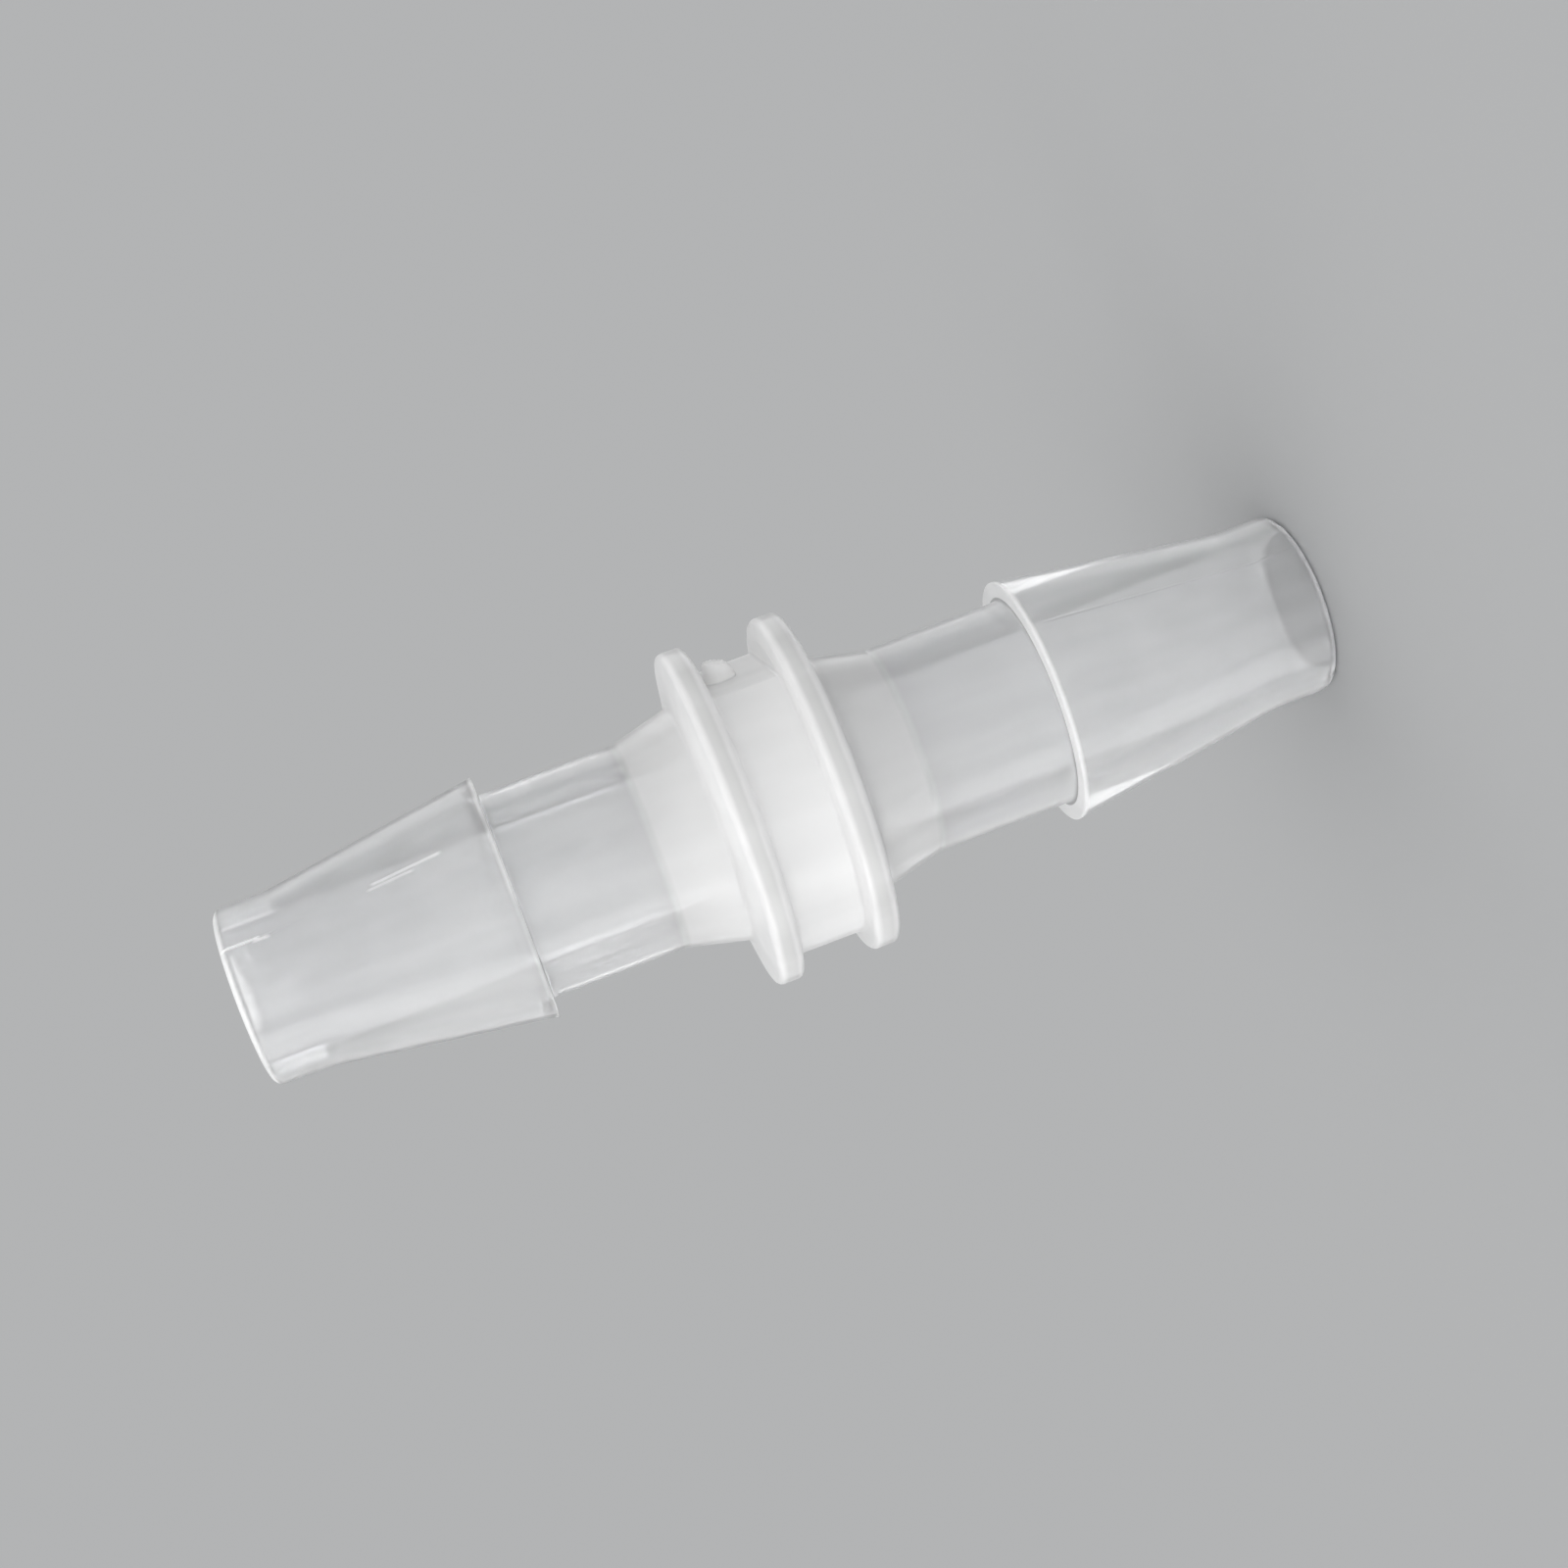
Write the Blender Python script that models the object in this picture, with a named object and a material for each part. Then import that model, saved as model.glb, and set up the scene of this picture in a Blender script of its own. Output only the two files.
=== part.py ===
# Straight hose barb connector for 9.5 mm (3/8 in) hose, moulded in one piece of natural polypropylene.
# It stands on one end: the bore runs along +Z, and the origin is the middle of the end face it stands on.

import math

import bpy
from mathutils import Matrix, Vector

MM = 0.001

# Bore: a core pin from each end, with a little draft, and the two meet in the middle
BORE_MOUTH_RADIUS = 3.12 * MM
BORE_MIDDLE_RADIUS = 3.00 * MM

# Tip: the straight lead that starts into the hose
TIP_RADIUS = 3.98 * MM
TIP_LENGTH = 2.40 * MM
LIP_OUTER_ROUND = 0.45 * MM
LIP_INNER_ROUND = 0.12 * MM

# Barb: a long cone up to a sharp crest, with a square back
BARB_RADIUS = 5.44 * MM
BARB_LENGTH = 9.90 * MM
CREST_LAND = 0.08 * MM
BARB_BACK_ROUND = 0.12 * MM

# Neck, where the hose clamp sits, and the flare that carries it up to the collar
NECK_RADIUS = 4.61 * MM
NECK_LENGTH = 6.10 * MM
FLARE_RADIUS = 5.31 * MM
FLARE_LENGTH = 2.75 * MM

# Collar: two flanges that stop the hoses, with a drum between them
FLANGE_RADIUS = 7.55 * MM
FLANGE_RIM = 1.10 * MM
FLANGE_DRAFT = math.radians(9)
FLANGE_EDGE_ROUND = 0.24 * MM
FLANGE_ROOT_ROUND = 0.16 * MM
GROOVE_WIDTH = 3.20 * MM
DRUM_RADIUS = 6.60 * MM

# Gate: a flat moulded into the drum on its +X side, with the stub where the part was broken off the runner
GATE_FLAT_DEPTH = 0.91 * MM
GATE_RADIUS = 0.70 * MM
GATE_TIP_RADIUS = 0.46 * MM
GATE_HEIGHT = 0.78 * MM
GATE_OFFSET = 0.55 * MM
GATE_ROOT = 0.30 * MM

# The most that a rounding may take of the wall or rim that it is on
MOST_OF_LIP_OUTSIDE = 0.60
MOST_OF_LIP_INSIDE = 0.25
MOST_OF_RIM = 0.45

# Facets round the part, round the gate stub, and along the curves of the outline
SIDES = 64
GATE_SIDES = 16
FINE_STEPS = 4
COARSE_STEPS = 2
SHARP_EDGE = math.radians(26)

PART_NAME = "connector_body"


def draft_at(radius):
    """How much thicker each face has made a flange at this radius than at its rim."""
    return math.tan(FLANGE_DRAFT) * (FLANGE_RADIUS - radius)


def half_outline():
    """Corners of one half, from the drum to the mouth, as (radius, distance from the middle, rounding, steps)."""
    flange_in = GROOVE_WIDTH / 2
    flange_out = flange_in + FLANGE_RIM
    flare_start = flange_out + draft_at(FLARE_RADIUS)
    neck_start = flare_start + FLARE_LENGTH
    barb_back = neck_start + NECK_LENGTH
    cone_end = barb_back + BARB_LENGTH
    end_face = cone_end + TIP_LENGTH
    wall = TIP_RADIUS - BORE_MOUTH_RADIUS
    lip_outside = min(LIP_OUTER_ROUND, MOST_OF_LIP_OUTSIDE * wall)
    lip_inside = min(LIP_INNER_ROUND, MOST_OF_LIP_INSIDE * wall)
    rim_round = min(FLANGE_EDGE_ROUND, MOST_OF_RIM * FLANGE_RIM)
    return [
        (DRUM_RADIUS, flange_in - draft_at(DRUM_RADIUS), FLANGE_ROOT_ROUND, COARSE_STEPS),
        (FLANGE_RADIUS, flange_in, rim_round, COARSE_STEPS),
        (FLANGE_RADIUS, flange_out, rim_round, COARSE_STEPS),
        (FLARE_RADIUS, flare_start, FLANGE_ROOT_ROUND, COARSE_STEPS),
        (NECK_RADIUS, neck_start, 0, 1),
        (NECK_RADIUS, barb_back, BARB_BACK_ROUND, 1),
        (BARB_RADIUS, barb_back, 0, 1),
        (BARB_RADIUS, barb_back + CREST_LAND, 0, 1),
        (TIP_RADIUS, cone_end, 0, 1),
        (TIP_RADIUS, end_face, lip_outside, FINE_STEPS),
        (BORE_MOUTH_RADIUS, end_face, lip_inside, 1),
    ]


def rounded(corners):
    """The closed outline through these corners, each with an arc of its rounding in place of the corner."""
    points = []
    for i, (x, y, rounding, steps) in enumerate(corners):
        corner = Vector((x, y))
        if rounding <= 0:
            points.append(corner)
            continue
        before = (Vector(corners[i - 1][:2]) - corner).normalized()
        after = (Vector(corners[(i + 1) % len(corners)][:2]) - corner).normalized()
        half_angle = before.angle(after) / 2
        start = corner + before * rounding / math.tan(half_angle)
        centre = corner + (before + after).normalized() * rounding / math.sin(half_angle)
        spoke = start - centre
        turn = math.copysign(math.pi - 2 * half_angle, before.cross(spoke))
        for step in range(steps + 1):
            points.append(centre + Matrix.Rotation(turn * step / steps, 2) @ spoke)
    return points


def whole_outline():
    """Both halves as one loop of (radius, height): down the outside from the top mouth, and back up the bore."""
    half = half_outline()
    middle = half[-1][1]
    top = [(radius, middle + along, rounding, steps) for radius, along, rounding, steps in half]
    bottom = [(radius, middle - along, rounding, steps) for radius, along, rounding, steps in half]
    waist = [(BORE_MIDDLE_RADIUS, middle, 0, 1)]
    return rounded(top[::-1] + bottom + waist), middle


def turned_body(outline):
    """The outline turned once round Z."""
    points = [(point.x, 0, point.y) for point in outline]
    edges = [(i, (i + 1) % len(points)) for i in range(len(points))]
    mesh = bpy.data.meshes.new(PART_NAME)
    mesh.from_pydata(points, edges, [])
    body = bpy.data.objects.new(PART_NAME, mesh)
    bpy.context.scene.collection.objects.link(body)
    screw = body.modifiers.new("turn", "SCREW")
    screw.axis = "Z"
    screw.angle = math.tau
    screw.steps = SIDES
    screw.render_steps = SIDES
    screw.use_merge_vertices = True
    screw.merge_threshold = 0.001 * MM
    apply_modifiers(body)
    return body


def gate_flat(middle):
    """Cutter for the flat: a block as wide as the drum, so that the flat runs from one flange to the other."""
    flat = DRUM_RADIUS - GATE_FLAT_DEPTH
    half_width = GROOVE_WIDTH / 2 - draft_at(DRUM_RADIUS)
    bpy.ops.mesh.primitive_cube_add(size=1)
    block = bpy.context.object
    block.name = "gate_flat_cutter"
    block.scale = (DRUM_RADIUS, 2 * DRUM_RADIUS, 2 * half_width)
    block.location = (flat + DRUM_RADIUS / 2, 0, middle)
    return block


def gate_stub(middle):
    """The broken stub: a short taper that stands on the flat and is rooted in the drum."""
    length = GATE_HEIGHT + GATE_ROOT
    bpy.ops.mesh.primitive_cone_add(
        vertices=GATE_SIDES, radius1=GATE_RADIUS, radius2=GATE_TIP_RADIUS, depth=length
    )
    stub = bpy.context.object
    stub.name = "gate_stub_shape"
    stub.rotation_euler = (0, math.pi / 2, 0)
    foot = DRUM_RADIUS - GATE_FLAT_DEPTH - GATE_ROOT
    stub.location = (foot + length / 2, 0, middle + GATE_OFFSET)
    return stub


def boolean(body, operation, other):
    """Cuts the other shape out of the body, or joins it on, and then does away with it."""
    modifier = body.modifiers.new(other.name, "BOOLEAN")
    modifier.operation = operation
    modifier.object = other
    modifier.solver = "EXACT"
    apply_modifiers(body)
    bpy.data.objects.remove(other, do_unlink=True)


def apply_modifiers(obj):
    bpy.ops.object.select_all(action="DESELECT")
    bpy.context.view_layer.objects.active = obj
    obj.select_set(True)
    for modifier in list(obj.modifiers):
        bpy.ops.object.modifier_apply(modifier=modifier.name)


def polypropylene():
    """Natural polypropylene: milky and slightly see-through, with a satin shine."""
    material = bpy.data.materials.new("natural_polypropylene")
    material.use_nodes = True
    shader = material.node_tree.nodes["Principled BSDF"]
    shader.inputs["Base Color"].default_value = (0.80, 0.82, 0.83, 1)
    shader.inputs["Roughness"].default_value = 0.28
    shader.inputs["Metallic"].default_value = 0
    shader.inputs["IOR"].default_value = 1.49
    shader.inputs["Transmission Weight"].default_value = 0.55
    return material


def main():
    for obj in list(bpy.data.objects):
        bpy.data.objects.remove(obj, do_unlink=True)
    outline, middle = whole_outline()
    body = turned_body(outline)
    boolean(body, "DIFFERENCE", gate_flat(middle))
    boolean(body, "UNION", gate_stub(middle))
    body.data.materials.append(polypropylene())
    body.data.shade_smooth()
    body.data.set_sharp_from_angle(angle=SHARP_EDGE)


main()
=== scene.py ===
import math

import bpy
from mathutils import Matrix, Vector


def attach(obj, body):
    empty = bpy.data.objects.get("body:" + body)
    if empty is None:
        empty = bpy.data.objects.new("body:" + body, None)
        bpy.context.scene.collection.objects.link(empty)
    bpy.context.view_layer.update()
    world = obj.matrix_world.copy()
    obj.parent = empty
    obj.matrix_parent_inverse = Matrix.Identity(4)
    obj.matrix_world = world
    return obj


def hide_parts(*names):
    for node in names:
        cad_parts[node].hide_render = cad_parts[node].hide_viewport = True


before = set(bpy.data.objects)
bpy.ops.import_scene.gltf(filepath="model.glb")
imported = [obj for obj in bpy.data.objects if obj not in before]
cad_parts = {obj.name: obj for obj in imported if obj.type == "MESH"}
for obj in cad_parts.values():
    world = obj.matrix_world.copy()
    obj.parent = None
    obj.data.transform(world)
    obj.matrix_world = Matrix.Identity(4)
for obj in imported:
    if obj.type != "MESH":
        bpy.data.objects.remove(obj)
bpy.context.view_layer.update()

mm = 0.001
samePlace = 0.001 * mm  # points closer than this are one
bodyNode = "connector_body"
print("frame loaded:", sorted(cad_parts))


def pickNothing():
    if bpy.context.object and bpy.context.object.mode != "OBJECT":
        bpy.ops.object.mode_set(mode="OBJECT")
    bpy.ops.object.select_all(action="DESELECT")


def pickOnly(piece):
    pickNothing()
    bpy.context.view_layer.objects.active = piece
    piece.select_set(True)


# Selects the points for which the test holds, ready for an edit mode tool
def pickPoints(piece, test):
    bpy.ops.object.mode_set(mode="EDIT")
    bpy.ops.mesh.select_mode(type="VERT")
    bpy.ops.mesh.select_all(action="DESELECT")
    bpy.ops.object.mode_set(mode="OBJECT")
    for point in piece.data.vertices:
        point.select = test(point.co)
    bpy.ops.object.mode_set(mode="EDIT")


def applyAll(piece):
    pickOnly(piece)
    for modifier in list(piece.modifiers):
        bpy.ops.object.modifier_apply(modifier=modifier.name)


camera = {
    "place": (27.6303, -109.9241, 36.7373),  # mm
    "turn": 13.8871,  # degrees round Z
    "tilt": -2.5026,
    "roll": -110.6715,  # the connector lies across the picture as in the photograph
    "lens": 60.896,
    "sensor": 36,
    "shift": (0.1134, 0.0431),
    "clip": (0.001, 100),  # metres
}


def setCamera(view):
    data = bpy.data.cameras.new("camera")
    data.lens = view["lens"]
    data.sensor_width = view["sensor"]
    data.shift_x, data.shift_y = view["shift"]
    data.clip_start, data.clip_end = view["clip"]
    eye = bpy.data.objects.new("camera", data)
    bpy.context.scene.collection.objects.link(eye)
    turn = Matrix.Rotation(math.radians(view["turn"]), 4, "Z")
    tilt = Matrix.Rotation(math.radians(90 + view["tilt"]), 4, "X")
    roll = Matrix.Rotation(math.radians(view["roll"]), 4, "Z")
    eye.matrix_world = Matrix.Translation(Vector(view["place"]) * mm) @ turn @ tilt @ roll
    bpy.context.scene.camera = eye


setCamera(camera)
print("camera set")


# A socket that can stand in a sum: wire * 2 adds a Math node
class Wire:
    def __init__(self, finish, socket):
        self.finish = finish
        self.socket = socket

    # Another output of the same node
    def output(self, name):
        return Wire(self.finish, self.socket.node.outputs[name])

    def maths(self, operation, first, second=0.0):
        return self.finish.node("ShaderNodeMath", {"operation": operation}, {0: first, 1: second})

    def __add__(self, other):
        return self.maths("ADD", self, other)

    def __radd__(self, other):
        return self.maths("ADD", other, self)

    def __sub__(self, other):
        return self.maths("SUBTRACT", self, other)

    def __rsub__(self, other):
        return self.maths("SUBTRACT", other, self)

    def __mul__(self, other):
        return self.maths("MULTIPLY", self, other)

    def __rmul__(self, other):
        return self.maths("MULTIPLY", other, self)

    def __truediv__(self, other):
        return self.maths("DIVIDE", self, other)

    def __pow__(self, other):
        return self.maths("POWER", self, other)

    def __abs__(self):
        return self.maths("ABSOLUTE", self)


# The nodes of one material, or of the world, being put together
class Finish:
    def __init__(self, owner):
        owner.use_nodes = True
        self.tree = owner.node_tree
        self.tree.nodes.clear()

    def node(self, kind, settings=None, inputs=None, output=0):
        made = self.tree.nodes.new(kind)
        for name, value in (settings or {}).items():
            if name == "stops":
                self.setStops(made.color_ramp, value)
            else:
                setattr(made, name, value)
        for name, value in (inputs or {}).items():
            if isinstance(value, Wire):
                self.tree.links.new(value.socket, made.inputs[name])
            else:
                made.inputs[name].default_value = value
        return Wire(self, made.outputs[output]) if made.outputs else None

    def setStops(self, ramp, stops):
        while len(ramp.elements) < len(stops):
            ramp.elements.new(1)
        for element, (place, colour) in zip(ramp.elements, stops):
            element.position = place
            element.color = colour

    # 0 before the span, 1 after it, with a smooth rise between. The span is in the unit given.
    def rise(self, value, span, unit=1):
        return self.node(
            "ShaderNodeMapRange",
            {"interpolation_type": "SMOOTHSTEP", "clamp": True},
            {"Value": value, "From Min": span[0] * unit, "From Max": span[1] * unit},
        )

    def blend(self, share, first, second):
        colours = {"Factor": share, "A": first, "B": second}
        return self.node("ShaderNodeMix", {"data_type": "RGBA"}, colours, output="Result")

    def shaderMix(self, share, first, second):
        return self.node("ShaderNodeMixShader", {}, {0: share, 1: first, 2: second})

    # A cloudy pattern between 0 and 1, about a half on average
    def noise(self, vector, scale, detail, roughness=0.5):
        inputs = {"Vector": vector, "Scale": scale, "Detail": detail, "Roughness": roughness}
        return self.node("ShaderNodeTexNoise", {}, inputs)

    def stretched(self, vector, scale):
        return self.node("ShaderNodeMapping", {}, {"Vector": vector, "Scale": scale})


body = {  # mm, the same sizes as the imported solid, and finer roundings
    "boreMouth": 3.12,
    "boreMiddle": 3.00,
    "tip": 3.98,
    "tipLength": 2.40,
    "tipRound": 0.30,  # where the barb's cone runs into the tip
    "lipRound": 0.45,
    "lipInside": 0.12,
    "barb": 5.44,
    "barbLength": 9.90,
    "crestLand": 0.08,
    "crestRound": 0.03,
    "barbBackRound": 0.12,
    "neck": 4.61,
    "neckLength": 6.10,
    "neckRound": 0.10,
    "flare": 5.31,
    "flareLength": 2.75,
    "flange": 7.55,
    "flangeRim": 1.10,
    "flangeDraft": 9,  # degrees
    "flangeRound": 0.24,
    "rootRound": 0.16,
    "groove": 3.20,
    "drum": 6.60,
    "sides": 192,
    "longest": 0.55,  # longest step along the outline outside
    "merge": 0.002,  # points closer than this become one after the spin
    "sharpFrom": 28,  # degrees
}


def outlineCorners(size):
    lean = math.tan(math.radians(size["flangeDraft"]))
    grooveHalf = size["groove"] / 2
    flangeOut = grooveHalf + size["flangeRim"]
    flareStart = flangeOut + lean * (size["flange"] - size["flare"])
    neckStart = flareStart + size["flareLength"]
    barbBack = neckStart + size["neckLength"]
    coneEnd = barbBack + size["barbLength"]
    endFace = coneEnd + size["tipLength"]
    half = [  # radius, distance from the middle, rounding, steps
        (size["drum"], grooveHalf - lean * (size["flange"] - size["drum"]), size["rootRound"], 4),
        (size["flange"], grooveHalf, size["flangeRound"], 6),
        (size["flange"], flangeOut, size["flangeRound"], 6),
        (size["flare"], flareStart, size["rootRound"], 4),
        (size["neck"], neckStart, size["neckRound"], 3),
        (size["neck"], barbBack, size["barbBackRound"], 4),
        (size["barb"], barbBack, size["crestRound"], 2),
        (size["barb"], barbBack + size["crestLand"], size["crestRound"], 2),
        (size["tip"], coneEnd, size["tipRound"], 3),
        (size["tip"], endFace, size["lipRound"], 8),
        (size["boreMouth"], endFace, size["lipInside"], 4),
    ]
    top = [(r, endFace + d, rounding, steps) for r, d, rounding, steps in half]
    bottom = [(r, endFace - d, rounding, steps) for r, d, rounding, steps in half]
    waist = [(size["boreMiddle"], endFace, 0, 0)]
    return top[::-1] + bottom + waist, endFace


# Draws the outline on from one point, which starts as a small plane, rounds its corners, and spins it
def spinBody(size):
    corners, middle = outlineCorners(size)
    pickNothing()
    first = corners[0]
    bpy.ops.mesh.primitive_plane_add(size=0.1 * mm, location=(first[0] * mm, 0, first[1] * mm))
    piece = bpy.context.object
    piece.name = "connector_moulding"
    piece.data.name = "connector_moulding"
    bpy.ops.object.transform_apply(location=True, rotation=True, scale=True)
    bpy.ops.object.mode_set(mode="EDIT")
    bpy.ops.mesh.select_mode(type="VERT")
    bpy.ops.mesh.select_all(action="SELECT")
    bpy.ops.mesh.merge(type="CENTER")
    for here, there in zip(corners, corners[1:]):
        step = ((there[0] - here[0]) * mm, 0, (there[1] - here[1]) * mm)
        bpy.ops.mesh.extrude_region_move(TRANSFORM_OT_translate={"value": step})
    ends = [Vector((c[0] * mm, 0, c[1] * mm)) for c in (corners[0], corners[-1])]
    pickPoints(piece, lambda co: min((co - end).length for end in ends) < samePlace)
    bpy.ops.mesh.edge_face_add()
    for r, z, rounding, steps in corners:
        if rounding > 0:
            corner = Vector((r * mm, 0, z * mm))
            pickPoints(piece, lambda co: (co - corner).length < samePlace)
            bpy.ops.mesh.bevel(
                offset_type="OFFSET", offset=rounding * mm, segments=steps, affect="VERTICES", profile=0.5
            )
    subdivideLong(piece, size["longest"] * mm)
    bpy.ops.mesh.select_all(action="SELECT")
    bpy.ops.mesh.spin(
        steps=size["sides"], angle=math.tau, center=(0, 0, 0), axis=(0, 0, 1), use_auto_merge=False
    )
    bpy.ops.mesh.select_all(action="SELECT")
    bpy.ops.mesh.remove_doubles(threshold=size["merge"] * mm)
    bpy.ops.mesh.normals_make_consistent(inside=False)
    bpy.ops.object.mode_set(mode="OBJECT")
    return piece, middle


# Halves the long edges in rounds, the longest first, down to this step. The bore's stay a little longer.
def subdivideLong(piece, longest):
    for times in (16, 8, 4, 2, 1):
        bpy.ops.mesh.select_mode(type="EDGE")
        bpy.ops.mesh.select_all(action="DESELECT")
        bpy.ops.object.mode_set(mode="OBJECT")
        found = 0
        for edge in piece.data.edges:
            a, b = (piece.data.vertices[i].co for i in edge.vertices)
            edge.select = (a - b).length > longest * times
            found += edge.select
        bpy.ops.object.mode_set(mode="EDIT")
        if found:
            bpy.ops.mesh.subdivide(number_cuts=1)
    bpy.ops.mesh.select_mode(type="VERT")


connector, middle = spinBody(body)
print("outline spun:", len(connector.data.vertices), "points")


gate = {  # mm
    "flat": 5.69,  # distance of the flat from the bore's axis
    "halfWidth": 1.4495,  # the flat runs from flange to flange
    "flatRound": 0.10,
    "flatSteps": 4,
    "cutterDepth": 4,
    "cutterWidth": 14,
    "offset": 0.55,  # how far the stub's centre is above the connector's middle
    "foot": 5.39,  # distance from the bore's axis at which the stub starts, inside the drum
    "tip": 6.68,  # and at which it ends
    "radius": 0.76,
    "sides": 36,
    "rings": (  # share of the height, radius
        (0.28, 0.70),
        (0.50, 0.66),
        (0.78, 0.61),
        (0.92, 0.56),
        (1.0, 0.44),
    ),
    "topRings": 4,
    "topRing": 0.2,  # width of each as a share of the top's radius
    "tear": 0.03,
    "tearEven": 0.2,  # 1 would move every point as far as the others
    "tearBelow": 0.05,  # how far in from the tip the points are torn
    "falls": 6,  # steps in which the top falls towards the connector's lower end
    "fall": 0.045,
    "fallOut": 6.0,  # distance from the bore's axis past which points fall
    "fallFrom": 0.40,  # height over the stub's centre below which they fall in the first step
    "fallApart": 0.16,  # each step starts this much lower than the one before
    "seed": 7,
}


# Cutter for the flat on the drum's +X side, a block whose inner edges are rounded
def makeFlatCutter(size, middle):
    pickNothing()
    bpy.ops.mesh.primitive_cube_add(size=1)
    block = bpy.context.object
    block.name = "gate_flat_cutter"
    block.scale = (size["cutterDepth"] * mm, size["cutterWidth"] * mm, 2 * size["halfWidth"] * mm)
    halfway = size["flat"] + size["cutterDepth"] / 2
    block.location = (halfway * mm, 0, middle * mm)
    bpy.ops.object.transform_apply(location=True, rotation=True, scale=True)
    pickPoints(block, lambda co: co.x < halfway * mm)
    bpy.ops.mesh.bevel(
        offset_type="OFFSET",
        offset=size["flatRound"] * mm,
        segments=size["flatSteps"],
        affect="EDGES",
        profile=0.5,
    )
    bpy.ops.object.mode_set(mode="OBJECT")
    return block


# The stub left by the runner: a short taper whose top is torn
def makeGateStub(size, middle):
    pickNothing()
    centre = Vector((size["foot"], 0, middle + size["offset"])) * mm
    bpy.ops.mesh.primitive_circle_add(
        vertices=size["sides"],
        radius=size["radius"] * mm,
        fill_type="NGON",
        location=centre,
        rotation=(0, math.radians(90), 0),
    )
    stub = bpy.context.object
    stub.name = "gate_stub"
    bpy.ops.object.transform_apply(location=True, rotation=True, scale=True)
    bpy.ops.object.mode_set(mode="EDIT")
    bpy.ops.mesh.select_mode(type="FACE")
    bpy.ops.mesh.select_all(action="SELECT")
    height = size["tip"] - size["foot"]
    share, radius = 0.0, size["radius"]
    for nextShare, nextRadius in size["rings"]:
        rise = (nextShare - share) * height * mm
        taper = nextRadius / radius
        bpy.ops.mesh.extrude_region_move(TRANSFORM_OT_translate={"value": (rise, 0, 0)})
        bpy.ops.transform.resize(value=(1, taper, taper), center_override=centre)
        share, radius = nextShare, nextRadius
    for ring in range(size["topRings"]):
        bpy.ops.mesh.inset(thickness=radius * size["topRing"] * mm)
    pickPoints(stub, lambda co: co.x > (size["tip"] - size["tearBelow"]) * mm)
    bpy.ops.transform.vertex_random(
        offset=size["tear"] * mm, uniform=size["tearEven"], seed=size["seed"]
    )
    for step in range(size["falls"]):
        edge = centre.z + (size["fallFrom"] - size["fallApart"] * step) * mm
        pickPoints(stub, lambda co: co.x > size["fallOut"] * mm and co.z < edge)
        bpy.ops.transform.translate(value=(-size["fall"] * mm, 0, 0))
    bpy.ops.mesh.select_all(action="SELECT")
    bpy.ops.mesh.normals_make_consistent(inside=False)
    bpy.ops.object.mode_set(mode="OBJECT")
    return stub


def combine(piece, operation, other):
    change = piece.modifiers.new(operation, "BOOLEAN")
    change.operation = operation
    change.solver = "EXACT"
    change.object = other
    applyAll(piece)
    bpy.data.objects.remove(other, do_unlink=True)


combine(connector, "DIFFERENCE", makeFlatCutter(gate, middle))
print("gate flat cut")
combine(connector, "UNION", makeGateStub(gate, middle))
print("gate stub welded on:", len(connector.data.polygons), "faces")

pickOnly(connector)
bpy.ops.object.shade_smooth_by_angle(angle=math.radians(body["sharpFrom"]))


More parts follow.
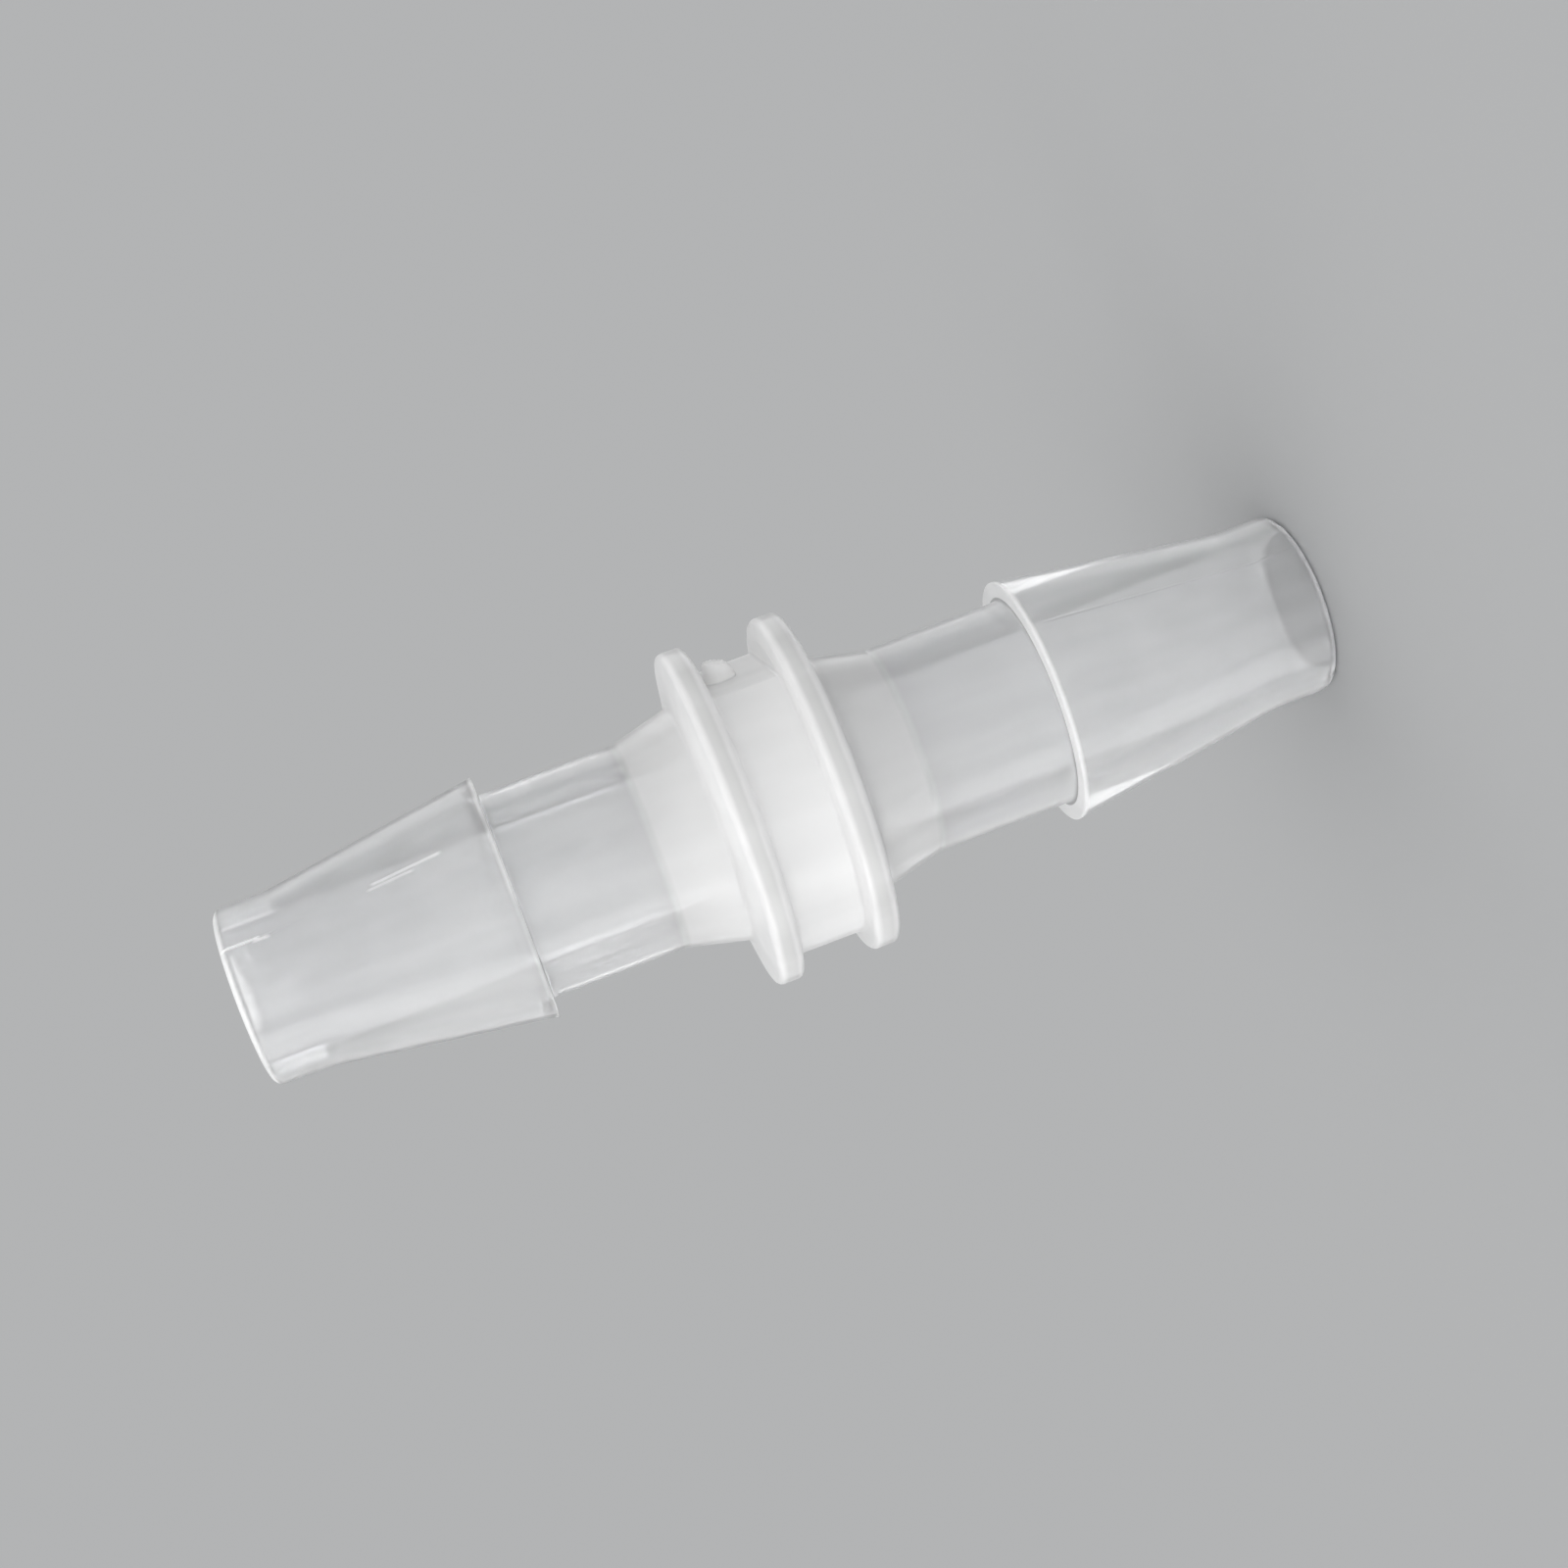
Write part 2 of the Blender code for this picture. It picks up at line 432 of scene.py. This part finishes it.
plastic = {  # mm and degrees. A pair is where a change over the surface starts and ends.
    "ior": 1.49,
    "clearRoughness": 0.07,
    "clearGrain": 0.04,  # how much the streaks change that
    "clearTint": (0.985, 0.99, 1.0, 1),
    "milkRoughness": 0.30,
    "thinMilk": (0.95, 0.97, 0.99, 1),  # bluish where the wall is thin
    "thickMilk": (0.99, 0.985, 0.975, 1),  # warm white where it is thick
    "thinToThick": (0.3, 0.85),  # milky shares between which one turns into the other
    "milkDepth": 2.0,  # how far light travels in the milky share
    "milkAlong": (  # distance from the middle, and the milky share there
        (0.0, 0.80),
        (2.9, 0.80),
        (3.2, 0.62),
        (5.6, 0.50),
        (6.0, 0.31),
        (11.9, 0.28),
        (16.0, 0.25),
        (21.5, 0.21),
        (24.0, 0.20),
    ),
    "leastMilk": 0.13,
    "mostMilk": 0.96,
    "cloudScale": 260.0,
    "streakScale": (420.0, 420.0, 60.0),  # the streaks run along the bore
    "flow": 0.08,  # how much the streaks and the cloud change the milky share
    "rippleScale": (260.0, 260.0, 40.0),
    "ripple": 0.003,  # height
    "upper": (5, 6),  # distance above the middle at which the upper end's own painted highlights start
    "outside": (3.7, 3.8),  # distance from the bore's axis, as is each value below whose name ends in Out
    # painted highlight along each barb's crest
    "crestHighlightShare": 0.60,
    "crestOut": (4.72, 4.80),
    "crestBack": (11.80, 11.86),  # distance from the middle
    "crestFront": (11.98, 12.16),
    "crestGaps": 0.8,  # how much the gaps take from the upper crest's painted highlight
    "crestGap": (0.46, 0.54),  # where in the cloud a gap is
    # painted highlight on the mouths' edges
    "lipHighlightShare": 0.80,
    "lipSide": 104,  # bearing of the half of each mouth whose inner edge gets the strongest painted highlight
    "lipFacing": (-0.1, 0.3),  # cosine of the bearing from there
    "lipBeside": (0.86, 0.97),  # sine of it, where the outer edge's painted highlight is strongest
    "lipElsewhere": 0.8,  # how strong the painted highlight on the upper end's outer edge is in other places
    "innerDeep": (0.26, 0.14),  # distance in from the end face
    "innerOut": (3.26, 3.32),
    "outerDeep": (0.34, 0.14),
    "outerOut": (3.40, 3.60),
    # painted light, so the stub shows white in the shade between the flanges
    "stubLightShare": 0.15,
    "stubOut": (5.72, 5.80),
    "stubAside": (0.85, 0.95),  # distance to either side of the X axis
    "stubAlong": (1.20, 1.40),  # distance from the middle
    # painted shade on the flange rims: clearer, and greyer below
    "rimShadeClear": 0.15,
    "rimPaintedShade": (0.84, 0.84, 0.835, 1),  # painted shade, greying the rims, between white edges, down towards the drum's tone
    "rimOut": (7.36, 7.50),
    "rimMiddle": 2.15,  # distance from the connector's middle to the middle of a rim
    "rimHalf": (0.16, 0.46),
    "seam": (-42.6, 137.4),  # bearings of the two mould lines
    "seamHalf": (0.2, 1.0),
    "seamGap": (0.42, 0.52),  # where in the ripples the line is broken
    "seamFrom": (12.3, 13.0),  # distance from the middle, just past the barb's crest
    "seamHeight": 0.012,
    "marks": (  # white marks of the mould: bearing, from and to along Z, half width in degrees, milk
        (-42.6, 46.65, 48.30, 1.3, 0.75),
        (-44.0, 46.25, 46.85, 1.6, 0.60),
        (-42.6, 38.4, 41.5, 1.2, 0.40),
        (-45.0, 39.7, 41.7, 1.1, 0.32),
    ),
    "markCore": 0.3,  # share of a mark's half width that is fully white
    "markFade": 0.15,
}


# What the patterns read: x, y and z in metres, away and radius in mm, bearing in degrees, and the noises
def readPlace(finish, look, middle):
    place = finish.node("ShaderNodeTexCoord", output="Object")
    apart = finish.node("ShaderNodeSeparateXYZ", {}, {"Vector": place})
    x, y, z = (apart.output(axis) for axis in "XYZ")
    drawn = finish.stretched(place, look["streakScale"])
    waved = finish.stretched(place, look["rippleScale"])
    return {
        "x": x,
        "y": y,
        "z": z,
        "along": abs(z - middle * mm) / (middle * mm),
        "away": abs(z - middle * mm) / mm,
        "radius": (x * x + y * y) ** 0.5 / mm,
        "bearing": x.maths("ARCTAN2", y, x) * (180 / math.pi),
        "upper": finish.rise(z, [middle + height for height in look["upper"]], mm),
        "cloud": finish.noise(place, look["cloudScale"], 1.0),
        "streaks": finish.noise(drawn, 1.0, 2.0, 0.55),
        "ripples": finish.noise(waved, 1.0, 0.0),
    }


# A painted highlight: the white line along each barb's crest, broken up on the upper one
def crestPaintedHighlight(finish, look, at):
    crest = finish.rise(at["radius"], look["crestOut"]) * finish.rise(at["away"], look["crestBack"])
    crest = crest * (1 - finish.rise(at["away"], look["crestFront"]))
    return crest * (1 - at["upper"] * finish.rise(at["cloud"], look["crestGap"]) * look["crestGaps"])


# Painted highlights: the whitened edges of the two mouths
def lipPaintedHighlight(finish, look, at, middle):
    turn = math.radians(look["lipSide"])
    x, y, radius = at["x"], at["y"], at["radius"]
    facing = (x * math.cos(turn) + y * math.sin(turn)) / (radius * mm)
    beside = abs(x * math.sin(turn) - y * math.cos(turn)) / (radius * mm)
    inner = finish.rise(at["away"], [middle - deep for deep in look["innerDeep"]])
    inner = inner * (1 - finish.rise(radius, look["innerOut"])) * finish.rise(facing, look["lipFacing"])
    side = finish.rise(beside, look["lipBeside"])
    side = side + at["upper"] * (1 - side) * look["lipElsewhere"]
    outer = finish.rise(at["away"], [middle - deep for deep in look["outerDeep"]])
    return inner + outer * finish.rise(radius, look["outerOut"]) * side


# Painted light: the stub is made milkier, so it shows white in the shade between the flanges
def stubPaintedLight(finish, look, at):
    stub = finish.rise(at["x"], look["stubOut"], mm) * (1 - finish.rise(abs(at["y"]), look["stubAside"], mm))
    return stub * (1 - finish.rise(at["away"], look["stubAlong"]))


def seamLine(finish, look, at, outside):
    first, second = (abs(at["bearing"] - seam) for seam in look["seam"])
    seam = 1 - finish.rise(first.maths("MINIMUM", first, second), look["seamHalf"])
    seam = seam * finish.rise(at["ripples"], look["seamGap"])
    return seam * finish.rise(at["away"], look["seamFrom"]) * outside


def markWhite(finish, look, at, outside, bearing, start, end, half):
    fade = look["markFade"]
    mark = 1 - finish.rise(abs(at["bearing"] - bearing), (half * look["markCore"], half))
    mark = mark * finish.rise(at["z"], (start - fade, start + fade), mm) * outside
    return mark * (1 - finish.rise(at["z"], (end - fade, end + fade), mm))


# A clear plastic mixed with a milky one, by a share that follows the wall and its marks, with painted
# highlights on the crests and the mouths' edges, painted light on the stub and painted shade on the flange
# rims
def makePlastic(look, middle):
    material = bpy.data.materials.new("natural polypropylene")
    finish = Finish(material)
    at = readPlace(finish, look, middle)
    stops = [(d / middle, (share, share, share, 1)) for d, share in look["milkAlong"]]
    milk = finish.node("ShaderNodeValToRGB", {"stops": stops}, {"Fac": at["along"]})
    share = milk + (at["streaks"] - 0.5) * (2 * look["flow"]) + (at["cloud"] - 0.5) * look["flow"]
    # painted highlight on the crests
    share = share + crestPaintedHighlight(finish, look, at) * look["crestHighlightShare"]
    # painted highlights on the mouths' edges
    share = share + lipPaintedHighlight(finish, look, at, middle) * look["lipHighlightShare"]
    # painted light on the stub
    share = share + stubPaintedLight(finish, look, at) * look["stubLightShare"]
    # painted shade: the flange rims are made clearer and greyer
    rimShade = 1 - finish.rise(abs(at["away"] - look["rimMiddle"]), look["rimHalf"])
    rimShade = finish.rise(at["radius"], look["rimOut"]) * rimShade
    share = share - rimShade * look["rimShadeClear"]
    outside = finish.rise(at["radius"], look["outside"])
    for bearing, start, end, half, milkier in look["marks"]:
        share = share + markWhite(finish, look, at, outside, bearing, start, end, half) * milkier
    share = finish.node(
        "ShaderNodeClamp", {}, {"Value": share, "Min": look["leastMilk"], "Max": look["mostMilk"]}
    )
    relief = at["ripples"] * look["ripple"] + seamLine(finish, look, at, outside) * look["seamHeight"]
    waves = finish.node("ShaderNodeBump", {}, {"Height": relief, "Strength": 1.0, "Distance": 1.0 * mm})
    clear = finish.node(
        "ShaderNodeBsdfPrincipled",
        {"distribution": "GGX"},
        {
            "Base Color": look["clearTint"],
            "Roughness": look["clearRoughness"] + (at["streaks"] - 0.5) * look["clearGrain"],
            "IOR": look["ior"],
            "Transmission Weight": 1.0,
            "Normal": waves,
        },
    )
    tint = finish.blend(finish.rise(milk, look["thinToThick"]), look["thinMilk"], look["thickMilk"])
    milky = finish.node(
        "ShaderNodeBsdfPrincipled",
        {"distribution": "GGX"},
        {
            # the rims' painted shade greys the milk there
            "Base Color": finish.blend(rimShade, tint, look["rimPaintedShade"]),
            "Roughness": look["milkRoughness"],
            "IOR": look["ior"],
            "Subsurface Weight": 1.0,
            "Subsurface Radius": (1.0, 1.0, 1.0),
            "Subsurface Scale": look["milkDepth"] * mm,
            "Normal": waves,
        },
    )
    finish.node("ShaderNodeOutputMaterial", {}, {"Surface": finish.shaderMix(share, clear, milky)})
    return material


connector.data.materials.clear()
connector.data.materials.append(makePlastic(plastic, middle))
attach(connector, "root")
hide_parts(bodyNode)
print("plastic on")


studio = {  # lengths in metres
    "background": (0.45, 0.455, 0.46, 1),
    "floor": (0.395, 0.3993, 0.4037, 1),
    "ambient": 0.90,
    "floorRadius": 3.0,
    "floorSides": 96,
    "floorFade": (0.015, 0.06),  # distance over which the floor turns into the background
    "aim": (0, 0, 0.024),  # where the lamps point
    "bounces": 8,  # of light, also through the clear plastic
    "surfaceBounces": 3,  # of those off a surface, matt or glossy
}


def makeFloor(look):
    pickNothing()
    bpy.ops.mesh.primitive_circle_add(
        vertices=look["floorSides"], radius=look["floorRadius"], fill_type="NGON", location=(0, 0, 0)
    )
    floor = bpy.context.object
    floor.name = "floor"
    floor.visible_glossy = False  # the shine on the plastic shows the plain studio below it too
    material = bpy.data.materials.new("floor")
    material.cycles.emission_sampling = "NONE"
    finish = Finish(material)
    place = finish.node("ShaderNodeTexCoord", output="Object")
    distance = finish.node("ShaderNodeVectorMath", {"operation": "LENGTH"}, {0: place}, output="Value")
    paint = finish.node("ShaderNodeBsdfDiffuse", {}, {"Color": look["floor"]})
    glow = finish.node("ShaderNodeEmission", {}, {"Color": look["background"], "Strength": 1.0})
    surface = finish.shaderMix(finish.rise(distance, look["floorFade"]), paint, glow)
    finish.node("ShaderNodeOutputMaterial", {}, {"Surface": surface})
    floor.data.materials.append(material)


# The plain background shows through and in the plastic, and the rest is lit by even light
def makeWorld(look):
    world = bpy.data.worlds.new("studio")
    bpy.context.scene.world = world
    finish = Finish(world)
    path = finish.node("ShaderNodeLightPath")
    seen, glossy, through, depth, shines, passes = (
        path.output(name)
        for name in (
            "Is Camera Ray",
            "Is Glossy Ray",
            "Is Transmission Ray",
            "Ray Depth",
            "Glossy Depth",
            "Transmission Depth",
        )
    )
    # A ray's depth counts one more where it ends, so one that the milk hasn't scattered is left with 1
    unscattered = path.maths("LESS_THAN", depth - shines - passes, 1.5)
    shown = seen + (glossy + through) * unscattered
    light = (look["ambient"], look["ambient"], look["ambient"], 1)
    colour = finish.blend(shown, light, look["background"])
    background = finish.node("ShaderNodeBackground", {}, {"Color": colour})
    finish.node("ShaderNodeOutputWorld", {}, {"Surface": background})
    world.cycles.sampling_method = "NONE"  # even light needs no sampling of its own


lamps = {  # bearing from +X in degrees, height and distance in metres, width, length, watts, kind
    "streak": (-146, 0.02, 0.40, 0.14, 0.60, 0.20, "all"),
    "streakShine": (-146, 0.02, 0.395, 0.26, 0.60, 0.75, "shine"),
    "leftEdge": (152, 0.02, 0.45, 0.28, 0.60, 0.42, "all"),
    "rightEdge": (56, 0.02, 0.45, 0.24, 0.60, 0.36, "all"),
    "top": (-84, 0.60, 0.15, 0.50, 0.50, 0.6, "all"),
    "front": (-92, 0.05, 0.60, 0.50, 0.50, 2.2, "fill"),
    "sheen": (-141, 0.02, 0.42, 1.06, 0.80, 2.6, "shine"),
}


# A lamp for shine only shows in reflections, and a fill lamp never does
def addLamp(name, aim, bearing, height, distance, width, length, watts, kind):
    data = bpy.data.lights.new(name, "AREA")
    data.shape = "RECTANGLE"
    data.size = width
    data.size_y = length
    data.energy = watts
    lamp = bpy.data.objects.new(name, data)
    bpy.context.scene.collection.objects.link(lamp)
    turn = math.radians(bearing)
    place = Vector((distance * math.cos(turn), distance * math.sin(turn), height))
    facing = (Vector(aim) - place).to_track_quat("-Z", "Y")
    lamp.matrix_world = Matrix.Translation(place) @ facing.to_matrix().to_4x4()
    lamp.visible_camera = False
    if kind == "shine":
        lamp.visible_diffuse = False
        lamp.visible_transmission = False
    if kind == "fill":
        lamp.visible_glossy = False


makeFloor(studio)
makeWorld(studio)
for name, setup in lamps.items():
    addLamp(name, studio["aim"], *setup)
scene = bpy.context.scene
scene.view_settings.view_transform = "Standard"
scene.cycles.max_bounces = studio["bounces"]
scene.cycles.transmission_bounces = studio["bounces"]
scene.cycles.diffuse_bounces = studio["surfaceBounces"]
scene.cycles.glossy_bounces = studio["surfaceBounces"]
print("studio lit")
